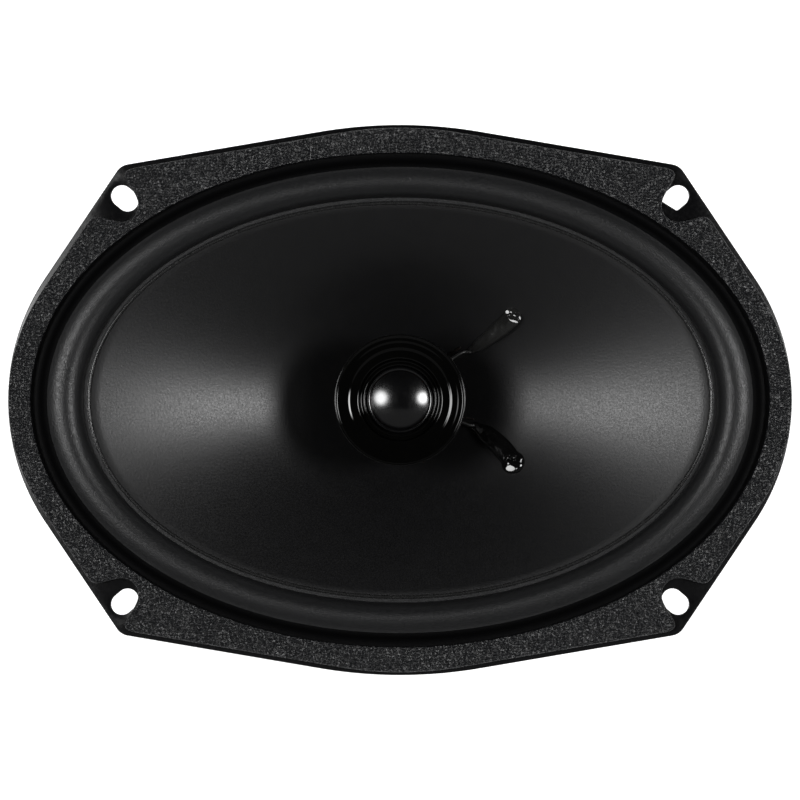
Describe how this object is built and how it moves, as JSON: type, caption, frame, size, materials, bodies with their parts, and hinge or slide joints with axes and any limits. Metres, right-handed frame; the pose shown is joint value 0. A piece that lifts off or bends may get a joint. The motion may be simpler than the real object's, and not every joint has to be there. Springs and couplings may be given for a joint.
{
  "type": "coaxial car speaker",
  "caption": "Oval coaxial car loudspeaker: pressed basket, embossed gasket, half-roll surround, cone, post-mounted dome tweeter and ferrite motor.",
  "frame": {"origin": "on the speaker's axis, in the plane of the mounting flange's rear face", "axes": "+Z the way the speaker faces, +X along its long axis towards the terminals, +Y across it"},
  "size_m": [0.235, 0.165, 0.083],
  "materials": {
    "basket_flange": "satin black electrocoat over pressed steel",
    "basket_skirt": "satin black electrocoat over pressed steel",
    "basket_spokes": "satin black electrocoat over pressed steel",
    "basket_well": "satin black electrocoat over pressed steel",
    "front_gasket": "black embossed crepe board with a leathery grain",
    "plate_rivets": "black-coated stakes",
    "top_plate": "zinc-plated steel",
    "magnet": "dark grey sintered ferrite",
    "yoke": "zinc-plated turned steel",
    "tweeter_post": "black moulded plastic",
    "post_washer": "zinc-plated",
    "post_nut": "zinc-plated",
    "terminal_board": "brown phenolic board",
    "board_rivets": "bright tin",
    "terminal_positive": "bare brass",
    "terminal_negative": "tin-plated",
    "terminal_rivets": "bare brass",
    "terminal_solder": "soldered, satin",
    "tweeter_housing": "gloss black moulding",
    "tweeter_bezel": "piano-gloss black",
    "tweeter_yoke": "zinc-plated",
    "tweeter_magnet": "nickel-plated neodymium",
    "tweeter_pole_plate": "zinc-plated",
    "crossover_capacitor": "dark sleeve",
    "tweeter_tags": "tinned brass",
    "cone": "satin black with a fine speckle",
    "surround": "matte black with a fine grain",
    "cone_edge_glue": "satin glue fillet",
    "spider": "resin-treated cotton, golden",
    "coil_former": "amber polyimide film",
    "coil_winding": "enamelled copper wire",
    "neck_glue": "black glue",
    "lead_eyelets": "brass eyelets",
    "lead_glue_upper": "shiny black glue",
    "lead_glue_lower": "shiny black glue",
    "coil_leads": "enamelled copper wire",
    "tinsel_leads": "braided tinsel wire",
    "tweeter_leads": "black insulated wire",
    "tweeter_dome": "gloss black dome",
    "tweeter_surround": "gloss black film",
    "tweeter_coil": "enamelled copper wire"
  },
  "bodies": {
    "frame": {"basket_flange": "basket_flange", "basket_skirt": "basket_skirt", "basket_spokes": "basket_spokes", "basket_well": "basket_well", "front_gasket": "front_gasket", "plate_rivets": "plate_rivets", "top_plate": "top_plate", "magnet": "magnet", "yoke": "yoke", "tweeter_post": "tweeter_post", "post_washer": "post_washer", "post_nut": "post_nut", "terminal_board": "terminal_board", "board_rivets": "board_rivets", "terminal_positive": "terminal_positive", "terminal_negative": "terminal_negative", "terminal_rivets": "terminal_rivets", "terminal_solder": "terminal_solder", "tweeter_housing": "tweeter_housing", "tweeter_bezel": "tweeter_bezel", "tweeter_yoke": "tweeter_yoke", "tweeter_magnet": "tweeter_magnet", "tweeter_pole_plate": "tweeter_pole_plate", "crossover_capacitor": "crossover_capacitor", "tweeter_tags": "tweeter_tags"},
    "cone": {"cone": "cone", "surround": "surround", "cone_edge_glue": "cone_edge_glue", "spider": "spider", "coil_former": "coil_former", "coil_winding": "coil_winding", "neck_glue": "neck_glue", "lead_eyelets": "lead_eyelets", "lead_glue_upper": "lead_glue_upper", "lead_glue_lower": "lead_glue_lower", "coil_leads": "coil_leads", "tinsel_leads": "tinsel_leads", "tweeter_leads": "tweeter_leads"},
    "tweeter_diaphragm": {"tweeter_dome": "tweeter_dome", "tweeter_surround": "tweeter_surround", "tweeter_coil": "tweeter_coil"}
  },
  "joints": [
    {"name": "cone_travel", "type": "slide", "parent": "frame", "child": "cone", "axis": [0, 0, 1], "range_m": [-0.005, 0.005], "stiffness_N_per_m": 1500, "deforming": ["surround", "spider", "tinsel_leads", "tweeter_leads"]},
    {"name": "tweeter_dome_travel", "type": "slide", "parent": "frame", "child": "tweeter_diaphragm", "axis": [0, 0, 1], "range_m": [-0.0004, 0.0004], "stiffness_N_per_m": 300, "deforming": ["tweeter_surround"]}
  ]
}
